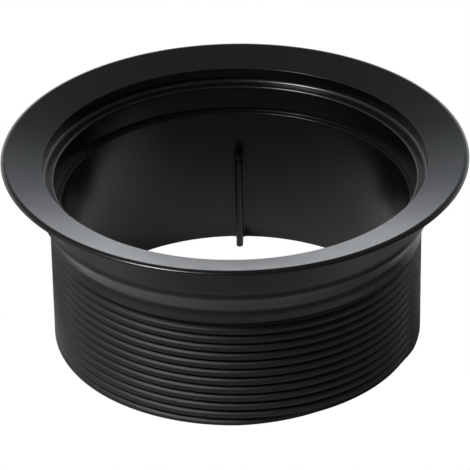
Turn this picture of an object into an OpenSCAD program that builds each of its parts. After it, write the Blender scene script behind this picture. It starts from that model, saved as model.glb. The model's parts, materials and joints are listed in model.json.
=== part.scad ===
// Threaded sink flange of a kitchen waste disposer, moulded in one piece.
// The rim rests in the sink's opening, the sleeve hangs through it, and a nut
// runs up the thread from below. +Z is up, and the origin is the centre of the
// sleeve's bottom edge.

/* [Overall size] */
// Height from the bottom edge to the top of the rim, mm
overall_h = 46.4; // [42:0.2:60]
// Outer diameter of the rim, mm
rim_od = 106.6; // [102:0.2:116]
// Outer diameter of the sleeve over its neck, mm
sleeve_od = 85.4; // [84.5:0.1:86.5]

/* [Rim] */
// Thickness of the rim at its outer edge, mm
rim_edge_t = 0.9; // [0.9:0.1:2]
// How far the top of the rim falls from its edge to the opening, mm
rim_dish = 2.2; // [1:0.1:3]
// Width of the flat seat under the rim's edge, mm
seat_w = 2.6; // [1.5:0.1:3.5]
// How far the underside falls from the seat to the neck, mm
under_dish = 2.5; // [1.5:0.1:3]

/* [Inside steps] */
// Diameter of the upper recess, mm
recess_d = 88; // [87.4:0.1:89]
// Depth of the ledge in the upper recess, below the top of the rim, mm
recess_depth = 5.7; // [5:0.1:6.2]
// Diameter of the guard seat below the ledge, mm
guard_d = 82.8; // [82:0.1:83.6]
// Depth of the second step, below the top of the rim, mm
guard_depth = 12; // [10:0.1:14]
// Diameter of the long bore, mm
bore_d = 79.9; // [78.6:0.1:80.6]

/* [Neck] */
// Outer diameter of the collar under the rim, mm
collar_d = 91; // [90.4:0.1:92]
// Depth where the collar ends and the cone begins, below the top of the rim, mm
collar_end = 11.2; // [9.4:0.1:12.4]
// Depth where the cone ends and the plain neck begins, below the top of the rim, mm
cone_end = 16.4; // [15:0.1:17.2]

/* [Thread] */
// Turns of thread in one inch of length
threads_per_inch = 11.5; // [8:0.5:14]
// Depth of the thread, mm
thread_depth = 1.05; // [0.6:0.05:1.2]
// Depth where the plain neck ends and the thread begins, below the top of the rim, mm
thread_start = 19.4; // [18:0.1:22]
// Straight segments in one turn of the thread
thread_steps = 48; // [36:6:72]
// Which way the thread winds: 1 is right-hand, -1 is left-hand
thread_hand = -1; // [-1:2:1]
// Width of the plain band down each side of the sleeve, degrees
side_band = 48; // [20:1:60]

/* [Rib] */
// How far the rib stands out from the bore, mm
rib_depth = 4.9; // [3:0.1:6]
// Thickness of the rib, mm
rib_t = 1.6; // [1.2:0.1:2.4]
// Depth of the rib's top, below the top of the rim, mm
rib_top = 22.1; // [18:0.1:26]
// Where the rib stands, degrees round from the back
rib_turn = 1.4; // [-90:0.1:90]

/* [Hidden] */
mm_per_inch = 25.4;
smooth = 180;
// How deep the ridge and the rib are sunk into the wall.
buried = 0.2;

rim_r = rim_od / 2;
sleeve_r = sleeve_od / 2;
root_r = sleeve_r - thread_depth;
recess_r = recess_d / 2;
guard_r = guard_d / 2;
bore_r = bore_d / 2;
collar_r = collar_d / 2;

// Width and height of the rounding over the rim's top edge, and the radii of the
// other moulded edges.
rim_edge_w = 1.1;
rim_edge_h = 0.7;
under_edge_r = 0.15;
inner_edge_r = 0.2;
ledge_edge_r = 0.5;
ledge_corner_r = 0.9;

recess_z = overall_h - recess_depth;
guard_z = overall_h - guard_depth;
rim_inner_z = overall_h - rim_dish;
seat_z = overall_h - rim_edge_t;
under_z = seat_z - under_dish;
collar_end_z = overall_h - collar_end;
cone_end_z = overall_h - cone_end;
neck_end_z = overall_h - thread_start;

// How far below the neck the thread's first crest starts, and over how many
// degrees its ridge grows to full depth there and dies away at the bottom.
crest_drop = 1.45;
fade_in = 60;
fade_out = 25;
// The side bands stand this far inside the neck, and the crests as far again.
relief = 0.1;
// The ridge stops this far above the bottom edge, and the bands a little higher.
bottom_gap = 0.2;
band_gap = 0.5;
// Shares of the pitch that the flat on a crest and the flat in a groove take up.
crest_share = 0.24;
groove_share = 0.16;
pitch = mm_per_inch / threads_per_inch;
crest_w = pitch * crest_share;
flank_w = pitch * (1 - crest_share - groove_share) / 2;
base_w = crest_w + 2 * flank_w * (thread_depth + buried) / thread_depth;
band_r = sleeve_r - relief;
first_crest_z = neck_end_z - crest_drop;
ring_count = floor(first_crest_z / pitch * thread_steps);

black = [0.03, 0.03, 0.032];

// Points along an arc, for the rounded corners of an outline. Its radius is one
// number, or a width and a height.
function arc(centre, r, from, to, steps = 8) =
    let (size = is_list(r) ? r : [r, r])
    [
        for (i = [0:steps])
            let (a = from + (to - from) * i / steps)
            centre + [size.x * cos(a), size.y * sin(a)]
    ];

// Points along a curve that takes the corner off two straight lines, starting
// that far from it on each.
function soft_corner(before, corner, after, cut = 0.8, steps = 8) =
    let (
        start = corner + cut * (before - corner) / norm(before - corner),
        end = corner + cut * (after - corner) / norm(after - corner)
    )
    [
        for (i = [0:steps])
            let (t = i / steps)
            (1 - t) * (1 - t) * start + 2 * t * (1 - t) * corner + t * t * end
    ];

// Half of the flange's cross-section: the top side going in, then the inside
// going down, then the outside coming back up.
module flange_outline() {
    polygon(concat(
        arc([rim_r - rim_edge_w, overall_h - rim_edge_h], [rim_edge_w, rim_edge_h], 0, 90),
        arc([recess_r + inner_edge_r, rim_inner_z - inner_edge_r], inner_edge_r, 90, 180),
        arc([recess_r - ledge_corner_r, recess_z + ledge_corner_r], ledge_corner_r, 0, -90),
        arc([guard_r + ledge_edge_r, recess_z - ledge_edge_r], ledge_edge_r, 90, 180),
        [[guard_r, guard_z]],
        arc([bore_r + inner_edge_r, guard_z - inner_edge_r], inner_edge_r, 90, 180),
        [
            [bore_r, 0],
            [root_r, 0],
            [root_r, neck_end_z - thread_depth],
            [sleeve_r, neck_end_z],
        ],
        soft_corner([sleeve_r, neck_end_z], [sleeve_r, cone_end_z], [collar_r, collar_end_z]),
        soft_corner([sleeve_r, cone_end_z], [collar_r, collar_end_z], [collar_r, under_z]),
        [
            [collar_r, under_z],
            [rim_r - under_edge_r - seat_w, seat_z],
        ],
        arc([rim_r - under_edge_r, seat_z + under_edge_r], under_edge_r, -90, 0)
    ));
}

// One cross-section of the thread's ridge, turned to its place on the helix.
// It grows out of the sleeve at its top end and sinks back in at its lower end.
function ridge_section(i) =
    let (
        turned = i * 360 / thread_steps,
        a = 90 - thread_hand * turned,
        z = first_crest_z - pitch * turned / 360,
        left = (ring_count - i) * 360 / thread_steps,
        grown = min(1, turned / fade_in, left / fade_out),
        sunk_r = root_r - buried / 2,
        crest_r = sunk_r + (band_r - relief - sunk_r) * grown
    )
    [
        for (corner = [
            [root_r - buried, -base_w / 2],
            [crest_r, -crest_w / 2],
            [crest_r, crest_w / 2],
            [root_r - buried, base_w / 2],
        ])
            [corner[0] * cos(a), corner[0] * sin(a), z + corner[1]]
    ];

// The helical ridge of the thread, running down to the sleeve's bottom edge.
module thread_ridge() {
    sections = [for (i = [0:ring_count]) each ridge_section(i)];
    last = 4 * ring_count;
    sides = [
        for (i = [0:ring_count - 1], k = [0:3])
            let (
                here = 4 * i,
                next = here + 4,
                k2 = (k + 1) % 4
            )
            each thread_hand > 0
                ? [[here + k, next + k, next + k2], [here + k, next + k2, here + k2]]
                : [[here + k, next + k2, next + k], [here + k, here + k2, next + k2]]
    ];
    first_cap = thread_hand > 0 ? [0, 1, 2, 3] : [3, 2, 1, 0];
    last_cap = thread_hand > 0 ? [3, 2, 1, 0] : [0, 1, 2, 3];
    polyhedron(
        points = sections,
        faces = concat(sides, [first_cap, [for (c = last_cap) last + c]])
    );
}

// The rib down the back of the bore, with a rounded inner edge.
module rib() {
    rib_r = bore_r - rib_depth + rib_t / 2;
    rotate([0, 0, 90 - rib_turn])
        linear_extrude(height = overall_h - rib_top)
            union() {
                translate([rib_r, 0]) circle(d = rib_t, $fn = smooth / 4);
                translate([rib_r, -rib_t / 2]) square([bore_r + buried - rib_r, rib_t]);
            }
}

// The plain bands down the sleeve's two sides, where the thread is left out.
module side_bands() {
    for (side = [0, 180])
        rotate([0, 0, side - side_band / 2])
            rotate_extrude(angle = side_band, $fn = smooth)
                translate([root_r - buried, band_gap])
                    square([band_r - root_r + buried, neck_end_z + buried - band_gap]);
}

module sink_flange() {
    color(black) {
        union() {
            rotate_extrude($fn = smooth) flange_outline();
            rib();
            side_bands();
            intersection() {
                thread_ridge();
                translate([0, 0, bottom_gap]) cylinder(h = overall_h, r = rim_r, $fn = smooth);
            }
        }
    }
}

sink_flange();
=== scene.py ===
"""Threaded sink flange of a kitchen waste disposer, on a pale studio floor."""

import json
import math

import bmesh
import bpy
from mathutils import Matrix, Vector


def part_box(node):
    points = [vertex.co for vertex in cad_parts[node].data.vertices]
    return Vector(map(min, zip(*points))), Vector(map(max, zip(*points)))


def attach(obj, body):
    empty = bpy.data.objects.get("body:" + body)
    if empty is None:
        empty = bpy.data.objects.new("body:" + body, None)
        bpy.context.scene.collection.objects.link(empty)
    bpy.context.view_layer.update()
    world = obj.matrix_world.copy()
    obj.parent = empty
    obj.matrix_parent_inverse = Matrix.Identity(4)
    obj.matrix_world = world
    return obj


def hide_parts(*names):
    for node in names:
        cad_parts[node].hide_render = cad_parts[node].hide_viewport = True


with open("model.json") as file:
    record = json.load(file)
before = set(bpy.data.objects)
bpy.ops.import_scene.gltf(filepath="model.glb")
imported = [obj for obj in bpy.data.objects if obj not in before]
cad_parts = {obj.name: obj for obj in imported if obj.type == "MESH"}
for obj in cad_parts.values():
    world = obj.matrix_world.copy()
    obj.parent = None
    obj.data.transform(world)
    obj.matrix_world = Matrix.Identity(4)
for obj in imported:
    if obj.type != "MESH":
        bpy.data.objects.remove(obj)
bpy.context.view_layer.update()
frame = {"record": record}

MM = 0.001
NODE = "sink_flange"

# Sizes the frame gives, in millimetres.
low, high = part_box(NODE)
MOUNTS = {mount["name"]: mount for mount in frame["record"]["mounts"]}


def wall(name):
    """Radius, lowest and highest level of a round mount's wall, in millimetres."""
    mount = MOUNTS[name]
    middle = mount["pos_m"][2] / MM
    half = mount["dims"]["length_mm"] / 2
    return mount["dims"]["r_mm"], middle - half, middle + half


TOP = high.z / MM
RIM_R = (high.y - low.y) / 2 / MM
SEAT_Z = MOUNTS["rim_seat"]["pos_m"][2] / MM
GUARD_R, STEP_Z, _ = wall("guard_seat")
RECESS_R, _, RECESS_TOP = wall("stopper_recess")
NECK_R = next(mount["dims"]["r_mm"] for mount in MOUNTS.values() if mount["kind"] == "pin")

# The rest of the moulding's shape, in millimetres.
BORE_R = 39.95
EDGE_R = 0.12
STEP_FILLET = 0.06
LEDGE_CORNER_R = 0.9
LEDGE_EDGE_R = 0.5
LEDGE_Z = TOP - 5.7
RIM_DISH = 2.2
RIM_EDGE_W = 1.1
RIM_EDGE_H = 0.7
UNDER_EDGE_R = 0.15
SEAT_W = 2.6
UNDER_Z = SEAT_Z - 2.5
UNDER_CORNER_R = 0.5
COLLAR_R = 45.5
COLLAR_END_Z = TOP - 11.2
CONE_END_Z = TOP - 16.4
CORNER_CUT = 1.6
NECK_LOW = TOP - 19.4
BOTTOM_EDGE_R = 0.15

# Thread. Its rows are the levels across one ridge, in pitches from the crest.
MM_PER_INCH = 25.4
THREADS_PER_INCH = 11.5
PITCH = MM_PER_INCH / THREADS_PER_INCH
THREAD_DEPTH = 1.05
ROOT_R = NECK_R - THREAD_DEPTH
FIRST_CREST_Z = NECK_LOW - 1.45
LAST_TURN = FIRST_CREST_Z / PITCH * 2 * math.pi
FADE_IN = math.radians(60)
FADE_OUT = math.radians(25)
CREST_HALF = 0.10
SHOULDER_SOFT = 0.25
BOTTOM_SNAP = 0.02
RIDGE_ROWS = (0.5, 0.475, 0.44, 0.40, 0.35, 0.30, 0.25, 0.20, 0.15, 0.10)

# Plain bands down the sleeve's two sides, and where the grooves begin past them.
BAND_HALF = math.radians(17)
GROOVE_START = math.radians(34)
BAND_GAP = 0.8

# Rib down the back of the bore.
RIB_DEPTH = 4.9
RIB_T = 1.6
RIB_FILLET = 0.5
RIB_TOP_Z = TOP - 22.1
RIB_TURN = math.radians(1.4)

# The mesh: columns round the axis, and rings that hold each straight run longer than LONG_RUN flat.
COLUMNS = 300
LONG_RUN = 1.0
HOLD = 0.1
SHARP_ANGLE = math.radians(40)
FULL_TURN = 2 * math.pi


def arc(centre, radius, start, end, steps=6, squash=1.0):
    """Points (r, z) along an arc of the section, from start to end degrees.

    Squash is its height as a share of its width.
    """
    points = []
    for i in range(steps + 1):
        a = math.radians(start + (end - start) * i / steps)
        rise = radius * squash * math.sin(a)
        points.append((centre[0] + radius * math.cos(a), centre[1] + rise))
    return points


def rib_outline():
    """Points (across, out from the axis) round the rib and its fillets, left to right."""
    side = RIB_T / 2
    fillet_x = side + RIB_FILLET
    fillet_y = math.sqrt((BORE_R - RIB_FILLET) ** 2 - fillet_x ** 2)
    tip_y = BORE_R - RIB_DEPTH + side
    left = arc((-fillet_x, fillet_y), RIB_FILLET, 85, 0, 4)
    tip = arc((0, tip_y), side, 180, 360, 8)
    right = [(-x, y) for x, y in reversed(left)]
    return left + tip + right


def columns():
    """(turn, rib point or None) for each column of the mesh, once round.

    Turn is anticlockwise from the back as seen from above. The last columns are
    the rib's, so the thread starts just past it.
    """
    rib = rib_outline()
    half_width = math.asin((RIB_T / 2 + RIB_FILLET) / BORE_R) * 1.05
    plain = FULL_TURN - 2 * half_width
    result = []
    for i in range(COLUMNS):
        result.append((half_width - RIB_TURN + plain * i / COLUMNS, None))
    first = half_width - RIB_TURN + plain
    for i, (across, out) in enumerate(rib):
        turn = first + 2 * half_width * i / len(rib)
        result.append((turn, (-across, out)))
    return result


def at(turn, r, z):
    """The point at that turn from the back, radius and level."""
    return Vector((-r * math.sin(turn), r * math.cos(turn), z)) * MM


def inside_section():
    """(r, z, rib share) for each ring, from the bore's bottom edge up to the rim's edge.

    The rib share is 1 where the rib stands out in full and 0 above its top.
    """
    rings = [(BORE_R + BOTTOM_EDGE_R, 0.0, 1.0)]
    rings.append((BORE_R, BOTTOM_EDGE_R, 1.0))
    for share in (0.12, 0.4, 0.7, 0.95):
        rings.append((BORE_R, RIB_TOP_Z * share, 1.0))
    rings += [(BORE_R, RIB_TOP_Z - 0.35, 1.0), (BORE_R, RIB_TOP_Z - 0.12, 0.985)]
    rings += [(BORE_R, RIB_TOP_Z, 0.94), (BORE_R, RIB_TOP_Z, 0.5), (BORE_R, RIB_TOP_Z, 0.0)]
    rings += [(BORE_R, RIB_TOP_Z + 0.1, 0.0), (BORE_R, RIB_TOP_Z + 4, 0.0)]
    plain = [(BORE_R, STEP_Z - 1.2)]
    plain += arc((BORE_R + EDGE_R, STEP_Z - EDGE_R), EDGE_R, 180, 90)
    plain += arc((GUARD_R - STEP_FILLET, STEP_Z + STEP_FILLET), STEP_FILLET, -90, 0, 3)
    plain += [(GUARD_R, (STEP_Z + LEDGE_Z) / 2)]
    plain += arc((GUARD_R + LEDGE_EDGE_R, LEDGE_Z - LEDGE_EDGE_R), LEDGE_EDGE_R, 180, 90)
    plain += arc((RECESS_R - LEDGE_CORNER_R, LEDGE_Z + LEDGE_CORNER_R), LEDGE_CORNER_R, -90, 0, 9)
    plain += [(RECESS_R, (LEDGE_Z + LEDGE_CORNER_R + RECESS_TOP) / 2)]
    inner_edge = (RECESS_R + EDGE_R, TOP - RIM_DISH - EDGE_R)
    outer_edge = (RIM_R - RIM_EDGE_W, TOP - RIM_EDGE_H)
    run = outer_edge[0] - inner_edge[0]
    slope = math.degrees(math.atan2(TOP - inner_edge[1], run))
    plain += arc(inner_edge, EDGE_R, 180, 90 + slope)
    plain += arc(outer_edge, RIM_EDGE_W, 90, 0, 10, RIM_EDGE_H / RIM_EDGE_W)
    return rings + [(r, z, 0.0) for r, z in hold_flats(plain)]


def hold_flats(points):
    """The points with two more near the ends of each long straight run, so it shades flat."""
    held = [points[0]]
    for first, second in zip(points, points[1:]):
        run = Vector(second) - Vector(first)
        if run.length > LONG_RUN:
            step = run.normalized() * HOLD
            held += [tuple(Vector(first) + step), tuple(Vector(second) - step)]
        held.append(second)
    return held


def soft_corner(before, corner, after, cut, steps=10):
    """Points along a curve that takes the corner off two straight lines."""
    first = Vector(corner) + (Vector(before) - Vector(corner)).normalized() * cut
    last = Vector(corner) + (Vector(after) - Vector(corner)).normalized() * cut
    points = []
    for i in range(steps + 1):
        t = i / steps
        place = first * (1 - t) ** 2 + Vector(corner) * 2 * t * (1 - t) + last * t ** 2
        points.append((place.x, place.y))
    return points


def outside_section():
    """(r, z) from the lower side of the rim's edge down to the end of the neck."""
    collar_end = (COLLAR_R, COLLAR_END_Z)
    cone_end = (NECK_R, CONE_END_Z)
    points = arc((RIM_R - UNDER_EDGE_R, SEAT_Z + UNDER_EDGE_R), UNDER_EDGE_R, 0, -90, 4)
    points += [(RIM_R - UNDER_EDGE_R - SEAT_W, SEAT_Z)]
    corner = (COLLAR_R + UNDER_CORNER_R, UNDER_Z - UNDER_CORNER_R * 0.4)
    points += arc(corner, UNDER_CORNER_R, 110, 180, 4)
    points += [(COLLAR_R, (UNDER_Z + COLLAR_END_Z) / 2)]
    points += soft_corner((COLLAR_R, UNDER_Z), collar_end, cone_end, CORNER_CUT)
    points += soft_corner(collar_end, cone_end, (NECK_R, NECK_LOW), CORNER_CUT)
    return hold_flats(points)


def ridge_height(offset):
    """The thread's height, from 0 in the groove to 1 on the crest, that many pitches from a crest."""
    rise = (0.5 - abs(offset)) / (0.5 - CREST_HALF)
    rise = min(1.0, max(0.0, rise))
    return rise * (2 - rise)


def shoulder_height(z):
    """How far the neck's lower shoulder stands out from the thread's root at that level."""
    above = z - (NECK_LOW - THREAD_DEPTH)
    if above < -SHOULDER_SOFT:
        return 0.0
    if above < SHOULDER_SOFT:
        return (above + SHOULDER_SOFT) ** 2 / (4 * SHOULDER_SOFT)
    return min(above, THREAD_DEPTH)


def band_share(turn):
    """1 on the plain bands down the two sides, falling to 0 where the grooves are full depth."""
    off_side = abs(abs(math.remainder(turn, FULL_TURN)) - FULL_TURN / 4)
    share = (GROOVE_START - off_side) / (GROOVE_START - BAND_HALF)
    share = min(1.0, max(0.0, share))
    return share * share * (3 - 2 * share)


def thread_radius(turn, z):
    """Radius of the sleeve's outside at that turn and level."""
    turned = turn - FIRST_TURN
    place = (FIRST_CREST_Z - z) / PITCH - turned / FULL_TURN
    crest = max(0, round(place))
    band = band_share(turn) * min(1.0, max(0.0, z / BAND_GAP))
    along = crest * FULL_TURN + turned
    fade = min(1.0, along / FADE_IN, max(0.0, (LAST_TURN - along) / FADE_OUT))
    ridge = THREAD_DEPTH * fade * ridge_height(place - crest)
    height = max(ridge, shoulder_height(z))
    return ROOT_R + height + (THREAD_DEPTH - height) * band


COLUMN_LIST = columns()
FIRST_TURN = COLUMN_LIST[0][0]


def add_ring(bm, r, z, rib_share=0.0):
    """One ring of vertices, drawn in round the rib by rib_share."""
    ring = []
    for turn, rib_point in COLUMN_LIST:
        place = at(turn, r, z)
        if rib_point and rib_share:
            across, out = rib_point
            rib_place = Matrix.Rotation(-RIB_TURN, 3, "Z") @ Vector((-across, out, z)) * MM
            place = place.lerp(rib_place, rib_share)
        ring.append(bm.verts.new(place))
    return ring


def add_face(bm, corners):
    """A face from those corners, leaving out repeats, or nothing if fewer than three stay."""
    kept = []
    for corner in corners:
        if corner not in kept:
            kept.append(corner)
    if len(kept) > 2:
        bm.faces.new(kept)


def join_rings(bm, upper, lower):
    """Faces between two rings of the same count."""
    count = len(upper)
    for i in range(count):
        j = (i + 1) % count
        add_face(bm, (upper[i], lower[i], lower[j], upper[j]))


def add_thread(bm, neck_ring):
    """The threaded outside of the sleeve, from the neck's last ring to the bottom edge.

    Its rows follow the helix, so each ridge is smooth, and it returns the bottom ring.
    """
    count = len(COLUMN_LIST)
    bottom = [bm.verts.new(at(turn, thread_radius(turn, 0.0), 0.0)) for turn, _ in COLUMN_LIST]
    rows = list(RIDGE_ROWS) + [-u for u in reversed(RIDGE_ROWS[1:])]
    cache = {}

    def corner(step, row):
        if row == len(rows):
            return corner(step + count, 0)
        column = step % count
        turn = COLUMN_LIST[column][0]
        turned = FULL_TURN * (step // count) + turn - FIRST_TURN
        z = FIRST_CREST_Z + (rows[row] - turned / FULL_TURN) * PITCH
        if z <= BOTTOM_SNAP:
            return bottom[column]
        if (step, row) not in cache:
            cache[step, row] = bm.verts.new(at(turn, thread_radius(turn, z), z))
        return cache[step, row]

    turns = math.ceil(FIRST_CREST_Z / PITCH + 1)
    for step in range(turns * count):
        for row in range(len(rows)):
            add_face(bm, (corner(step, row), corner(step, row + 1),
                          corner(step + 1, row + 1), corner(step + 1, row)))

    # The band between the neck and the first turn narrows from one pitch to nothing.
    levels = [NECK_LOW - d for d in (0.35, 0.7, 0.85, 1.0, 1.15, 1.4)]

    def band(step, level):
        column = step % count
        turn = COLUMN_LIST[column][0]
        edge_z = FIRST_CREST_Z + PITCH / 2 - PITCH * (turn - FIRST_TURN) / FULL_TURN
        if level < 0:
            return neck_ring[column]
        if level == len(levels) or levels[level] <= edge_z + 0.01:
            return corner(column, 0)
        if ("band", column, level) not in cache:
            z = levels[level]
            cache["band", column, level] = bm.verts.new(at(turn, thread_radius(turn, z), z))
        return cache["band", column, level]

    for step in range(count - 1):
        for level in range(-1, len(levels)):
            add_face(bm, (band(step, level), band(step, level + 1),
                          band(step + 1, level + 1), band(step + 1, level)))
    left = [band(count - 1, level) for level in range(-1, len(levels) + 1)]
    right = [neck_ring[0]] + [corner(0, row) for row in range(len(rows) + 1)]
    add_face(bm, left + list(reversed(right)))
    return bottom


def make_flange():
    """The whole moulding as one closed mesh."""
    bm = bmesh.new()
    inside = [add_ring(bm, r, z, share) for r, z, share in inside_section()]
    outside = [add_ring(bm, r, z) for r, z in outside_section()]
    neck_ring = add_ring(bm, NECK_R, NECK_LOW)
    going_out = inside + outside + [neck_ring]
    for first, second in zip(going_out, going_out[1:]):
        join_rings(bm, first, second)
    bottom = add_thread(bm, neck_ring)
    join_rings(bm, bottom, inside[0])
    bmesh.ops.recalc_face_normals(bm, faces=bm.faces)
    mesh = bpy.data.meshes.new("sink_flange_moulding")
    bm.to_mesh(mesh)
    bm.free()
    mesh.shade_smooth()
    mesh.set_sharp_from_angle(angle=SHARP_ANGLE)
    flange = bpy.data.objects.new("sink_flange_moulding", mesh)
    bpy.context.scene.collection.objects.link(flange)
    return flange


def node(tree, kind, **inputs):
    """A shader node with those input values set by name."""
    made = tree.nodes.new(kind)
    for name, value in inputs.items():
        made.inputs[name.replace("_", " ")].default_value = value
    return made


# Gloss of the plastic, and how much duller the threaded sleeve is. The sleeve's outside lies
# beyond SLEEVE_OUTSIDE from the axis and below SLEEVE_TOP, each a soft edge in metres.
GLOSS_LOW = 0.17
GLOSS_HIGH = 0.27
SLEEVE_DULLER = 0.30
SLEEVE_OUTSIDE = (0.0407, 0.0412)
SLEEVE_TOP = (0.0265, 0.0275)
DARK_PLASTIC = (0.0013, 0.0014, 0.0014, 1)
LIGHT_PLASTIC = (0.0030, 0.0032, 0.0031, 1)


def black_plastic():
    """Satin black moulded plastic: fine moulded texture, faint flow marks, softly uneven gloss."""
    material = bpy.data.materials.new("black_moulded_plastic")
    material.use_nodes = True
    tree = material.node_tree
    tree.nodes.clear()
    link = tree.links.new
    output = tree.nodes.new("ShaderNodeOutputMaterial")
    shader = node(tree, "ShaderNodeBsdfPrincipled", IOR=1.5)
    link(shader.outputs["BSDF"], output.inputs["Surface"])
    place = tree.nodes.new("ShaderNodeTexCoord")

    # Colour: near black, a touch lighter in soft patches.
    cloud = node(tree, "ShaderNodeTexNoise", Scale=45.0, Detail=4.0)
    link(place.outputs["Object"], cloud.inputs["Vector"])
    colour = tree.nodes.new("ShaderNodeValToRGB")
    colour.color_ramp.elements[0].color = DARK_PLASTIC
    colour.color_ramp.elements[1].color = LIGHT_PLASTIC
    link(cloud.outputs["Fac"], colour.inputs["Fac"])
    link(colour.outputs["Color"], shader.inputs["Base Color"])

    # Gloss: slightly uneven, as moulded plastic is.
    smear = node(tree, "ShaderNodeTexNoise", Scale=160.0, Detail=5.0, Roughness=0.6)
    link(place.outputs["Object"], smear.inputs["Vector"])
    gloss = node(tree, "ShaderNodeMapRange", To_Min=GLOSS_LOW, To_Max=GLOSS_HIGH)
    link(smear.outputs["Fac"], gloss.inputs["Value"])

    # The threaded sleeve is duller than the rest.
    flat = tree.nodes.new("ShaderNodeVectorMath")
    flat.operation = "MULTIPLY"
    flat.inputs[1].default_value = (1, 1, 0)
    link(place.outputs["Object"], flat.inputs[0])
    out = tree.nodes.new("ShaderNodeVectorMath")
    out.operation = "LENGTH"
    link(flat.outputs["Vector"], out.inputs[0])
    split = tree.nodes.new("ShaderNodeSeparateXYZ")
    link(place.outputs["Object"], split.inputs["Vector"])
    outside = spread(tree, out.outputs["Value"], *SLEEVE_OUTSIDE, 0.0, 1.0)
    below = spread(tree, split.outputs["Z"], *SLEEVE_TOP, 1.0, 0.0)
    dull = tree.nodes.new("ShaderNodeMath")
    dull.operation = "MULTIPLY"
    link(outside.outputs["Result"], dull.inputs[0])
    link(below.outputs["Result"], dull.inputs[1])
    rough = tree.nodes.new("ShaderNodeMath")
    rough.operation = "MULTIPLY_ADD"
    rough.inputs[1].default_value = SLEEVE_DULLER
    link(dull.outputs["Value"], rough.inputs[0])
    link(gloss.outputs["Result"], rough.inputs[2])
    link(rough.outputs["Value"], shader.inputs["Roughness"])

    # Surface: a very fine grain over a slow ripple.
    grain = node(tree, "ShaderNodeTexNoise", Scale=5200.0, Detail=2.0)
    ripple = node(tree, "ShaderNodeTexNoise", Scale=90.0, Detail=2.0)
    link(place.outputs["Object"], grain.inputs["Vector"])
    link(place.outputs["Object"], ripple.inputs["Vector"])
    fine = node(tree, "ShaderNodeBump", Strength=0.08, Distance=0.0001)
    slow = node(tree, "ShaderNodeBump", Strength=0.10, Distance=0.0004)
    link(grain.outputs["Fac"], fine.inputs["Height"])
    link(ripple.outputs["Fac"], slow.inputs["Height"])
    link(fine.outputs["Normal"], slow.inputs["Normal"])
    link(slow.outputs["Normal"], shader.inputs["Normal"])
    return material


# Painted light and shade on the floor, as the plastic reflects it: its grey from in front of the
# flange to behind it.
FLOOR_FRONT = -0.15
FLOOR_BACK = 0.10
FLOOR_PAINTED_SHADES = [
    (0.00, (0.16, 0.16, 0.17)),
    (0.13, (0.20, 0.20, 0.21)),
    (0.22, (0.27, 0.28, 0.29)),
    (0.35, (0.40, 0.41, 0.42)),
    (0.42, (0.40, 0.41, 0.42)),
    (0.50, (0.28, 0.29, 0.29)),
    (0.74, (0.28, 0.29, 0.29)),
    (0.84, (0.15, 0.15, 0.15)),
]

# Gains on that grey from place to place, painting light and shade: start and end in metres, then the
# gain at each.
# Across X, the floor near the flange in front of it and behind it, and the floor further away: darker
# to the right in front, a painted shadow; brighter to the right behind and to the left further away,
# painted light.
CLOSE_PAINTED_SHADE = (-0.04, 0.03, 0.78, 0.36)
BEHIND_PAINTED_LIGHT_AND_SHADE = (-0.06, 0.06, 0.35, 3.4)
AWAY_PAINTED_LIGHT = (-0.08, 0.08, 1.9, 1.6)
# Where front gives way to behind, across Y, and near to away, by distance from the axis.
FRONT_TO_BEHIND = (0.0, 0.04)
NEAR_TO_AWAY = (0.074, 0.088)
# Inside the sleeve's foot, then just round it, where the flange shades the floor most; here the gains
# paint light over that shade.
INSIDE_PAINTED_LIGHT = 1.35
FOOT_PAINTED_LIGHT = (0.01, 0.047, 3.9, 8.5)
INSIDE_TO_FOOT = (0.041, 0.044)
FOOT_TO_OPEN = (0.048, 0.056)

# Brightness of the backdrop behind the flange, by the sine of the height above the horizon.
SKY_STRENGTH = 2.0
SKY_SHADES = [
    (0.00, (1.42, 1.47, 1.52)),
    (0.09, (1.24, 1.28, 1.34)),
    (0.16, (0.82, 0.85, 0.90)),
    (0.28, (0.38, 0.40, 0.43)),
    (0.45, (0.29, 0.31, 0.33)),
    (0.53, (0.18, 0.20, 0.20)),
    (0.57, (0.11, 0.12, 0.10)),
    (1.00, (0.11, 0.12, 0.10)),
]


def set_ramp(ramp, shades):
    """Give a colour ramp those (position, colour) stops."""
    while len(ramp.elements) < len(shades):
        ramp.elements.new(1.0)
    for element, (position, colour) in zip(ramp.elements, shades):
        element.position = position
        element.color = (*colour, 1)


def spread(tree, value, start, end, low_result, high_result):
    """A map range node from start to end onto the two results, each a number or a socket."""
    made = node(tree, "ShaderNodeMapRange", From_Min=start, From_Max=end)
    tree.links.new(value, made.inputs["Value"])
    for name, result in (("To Min", low_result), ("To Max", high_result)):
        if isinstance(result, float):
            made.inputs[name].default_value = result
        else:
            tree.links.new(result, made.inputs[name])
    return made


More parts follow.
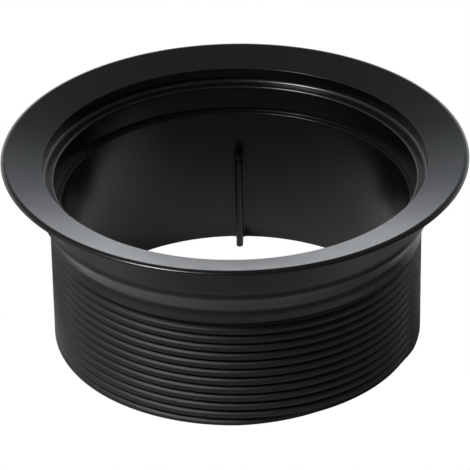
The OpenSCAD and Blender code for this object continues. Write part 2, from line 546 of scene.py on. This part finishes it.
def floor_material():
    """Pale studio floor: plain white to the camera.

    To everything else it is a matt sheet with painted light and shade: its grey is set from place to
    place so that the plastic's reflections have the right tones. Parts of it are brighter than real
    paper could be.
    """
    material = bpy.data.materials.new("floor_with_painted_light")
    material.use_nodes = True
    tree = material.node_tree
    tree.nodes.clear()
    output = tree.nodes.new("ShaderNodeOutputMaterial")
    place = tree.nodes.new("ShaderNodeTexCoord")
    split = tree.nodes.new("ShaderNodeSeparateXYZ")
    # The ramp gives the floor's painted light and shade from front to back.
    span = node(tree, "ShaderNodeMapRange", From_Min=FLOOR_FRONT, From_Max=FLOOR_BACK)
    shade = tree.nodes.new("ShaderNodeValToRGB")
    set_ramp(shade.color_ramp, FLOOR_PAINTED_SHADES)
    tree.links.new(place.outputs["Object"], split.inputs["Vector"])
    tree.links.new(split.outputs["Y"], span.inputs["Value"])
    tree.links.new(span.outputs["Result"], shade.inputs["Fac"])
    reach = tree.nodes.new("ShaderNodeVectorMath")
    reach.operation = "LENGTH"
    tree.links.new(place.outputs["Object"], reach.inputs[0])
    # Gains that paint light and shade on the floor from place to place.
    close = spread(tree, split.outputs["X"], *CLOSE_PAINTED_SHADE).outputs["Result"]
    behind = spread(tree, split.outputs["X"], *BEHIND_PAINTED_LIGHT_AND_SHADE).outputs["Result"]
    away = spread(tree, split.outputs["X"], *AWAY_PAINTED_LIGHT).outputs["Result"]
    near = spread(tree, split.outputs["Y"], *FRONT_TO_BEHIND, close, behind).outputs["Result"]
    lean = spread(tree, reach.outputs["Value"], *NEAR_TO_AWAY, near, away)
    foot = spread(tree, split.outputs["X"], *FOOT_PAINTED_LIGHT).outputs["Result"]
    inner = spread(tree, reach.outputs["Value"], *INSIDE_TO_FOOT, INSIDE_PAINTED_LIGHT, foot).outputs["Result"]
    under = spread(tree, reach.outputs["Value"], *FOOT_TO_OPEN, inner, 1.0)
    gain = tree.nodes.new("ShaderNodeMath")
    gain.operation = "MULTIPLY"
    tree.links.new(lean.outputs["Result"], gain.inputs[0])
    tree.links.new(under.outputs["Result"], gain.inputs[1])
    # Painted light and shade: the ramp's grey times the gains, seen only in reflections.
    painted_light = tree.nodes.new("ShaderNodeVectorMath")
    painted_light.operation = "SCALE"
    tree.links.new(shade.outputs["Color"], painted_light.inputs[0])
    tree.links.new(gain.outputs["Value"], painted_light.inputs["Scale"])
    matt = tree.nodes.new("ShaderNodeBsdfDiffuse")
    tree.links.new(painted_light.outputs["Vector"], matt.inputs["Color"])
    white = node(tree, "ShaderNodeEmission", Color=(1, 1, 1, 1), Strength=1.0)
    path = tree.nodes.new("ShaderNodeLightPath")
    mix = tree.nodes.new("ShaderNodeMixShader")
    tree.links.new(path.outputs["Is Camera Ray"], mix.inputs["Fac"])
    tree.links.new(matt.outputs["BSDF"], mix.inputs[1])
    tree.links.new(white.outputs["Emission"], mix.inputs[2])
    tree.links.new(mix.outputs["Shader"], output.inputs["Surface"])
    return material


FLOOR_HALF = 3.0
FLOOR_DROP = 0.0001


def make_floor():
    """A large flat sheet that the flange stands on."""
    mesh = bpy.data.meshes.new("floor_with_painted_light")
    bm = bmesh.new()
    corners = ((-1, -1), (1, -1), (1, 1), (-1, 1))
    bm.faces.new([bm.verts.new((x * FLOOR_HALF, y * FLOOR_HALF, 0)) for x, y in corners])
    bm.to_mesh(mesh)
    bm.free()
    floor = bpy.data.objects.new("floor_with_painted_light", mesh)
    bpy.context.scene.collection.objects.link(floor)
    floor.location.z = -FLOOR_DROP
    mesh.materials.append(floor_material())
    return floor


# Brightness in front, across the direction's X, and where it gives way to the backdrop, across Y.
FRONT_SKY = (-0.8, -0.1, 0.28, 0.07)
FRONT_TO_BACKDROP = (0.2, 0.6)


def make_world():
    """A backdrop behind the flange, bright low down and dim above, and a dim room in front."""
    world = bpy.data.worlds.new("studio")
    bpy.context.scene.world = world
    world.use_nodes = True
    tree = world.node_tree
    tree.nodes.clear()
    output = tree.nodes.new("ShaderNodeOutputWorld")
    sky = node(tree, "ShaderNodeBackground", Strength=SKY_STRENGTH)
    place = tree.nodes.new("ShaderNodeTexCoord")
    split = tree.nodes.new("ShaderNodeSeparateXYZ")
    ramp = tree.nodes.new("ShaderNodeValToRGB")
    set_ramp(ramp.color_ramp, SKY_SHADES)
    tree.links.new(place.outputs["Generated"], split.inputs["Vector"])
    tree.links.new(split.outputs["Z"], ramp.inputs["Fac"])
    front = spread(tree, split.outputs["X"], *FRONT_SKY)
    behind = spread(tree, split.outputs["Y"], *FRONT_TO_BACKDROP, 0.0, 1.0)
    mix = tree.nodes.new("ShaderNodeMix")
    mix.data_type = "RGBA"
    tree.links.new(behind.outputs["Result"], mix.inputs["Factor"])
    tree.links.new(front.outputs["Result"], mix.inputs["A"])
    tree.links.new(ramp.outputs["Color"], mix.inputs["B"])
    tree.links.new(mix.outputs["Result"], sky.inputs["Color"])
    tree.links.new(sky.outputs["Background"], output.inputs["Surface"])


def softbox(name, towards, distance, size, watts):
    """A square soft light in that direction from the flange, facing it."""
    data = bpy.data.lights.new(name, "AREA")
    data.shape = "SQUARE"
    data.size = size
    data.energy = watts
    light = bpy.data.objects.new(name, data)
    bpy.context.scene.collection.objects.link(light)
    aim = Vector((0, 0, TOP / 2 * MM))
    direction = Vector(towards).normalized()
    light.location = aim + direction * distance
    light.rotation_mode = "QUATERNION"
    light.rotation_quaternion = direction.to_track_quat("Z", "Y")
    light.visible_camera = False
    return light


CAMERA_DISTANCE = 0.814
CAMERA_ELEVATION = math.radians(29.45)
CAMERA_ROLL = math.radians(-0.9)
CAMERA_AIM = Vector((-0.25, 0, TOP - 22.2)) * MM
LENS = 274


def make_camera():
    """A long lens, looking down on the flange from the front."""
    rim_centre = Vector((0, 0, TOP * MM))
    away = Vector((0, -math.cos(CAMERA_ELEVATION), math.sin(CAMERA_ELEVATION)))
    data = bpy.data.cameras.new("camera")
    data.sensor_width = 36
    data.lens = LENS
    data.clip_start = 0.05
    data.clip_end = 20
    camera = bpy.data.objects.new("camera", data)
    bpy.context.scene.collection.objects.link(camera)
    camera.location = rim_centre + away * CAMERA_DISTANCE
    look = (CAMERA_AIM - camera.location).to_track_quat("-Z", "Y")
    roll = Matrix.Rotation(CAMERA_ROLL, 4, "Z")
    camera.matrix_world = Matrix.Translation(camera.location) @ look.to_matrix().to_4x4() @ roll
    bpy.context.scene.camera = camera


# Direction from the flange to the main light, which is up on the left in front.
KEY_DIRECTION = (-0.45, -0.36, 0.82)
KEY_DISTANCE = 1.2

flange = make_flange()
flange.data.materials.append(black_plastic())
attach(flange, "root")
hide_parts(NODE)

make_floor()
make_world()
# The key makes only highlights. Its spill and the fill light only matt surfaces.
key = softbox("key", KEY_DIRECTION, KEY_DISTANCE, 0.35, 11)
key.visible_diffuse = False
key_spill = softbox("key_spill", KEY_DIRECTION, KEY_DISTANCE, 0.5, 8)
key_spill.visible_glossy = False
fill = softbox("fill", (0, 0, 1), 1.5, 0.6, 8)
fill.visible_glossy = False
make_camera()

scene = bpy.context.scene
scene.view_settings.view_transform = "Standard"
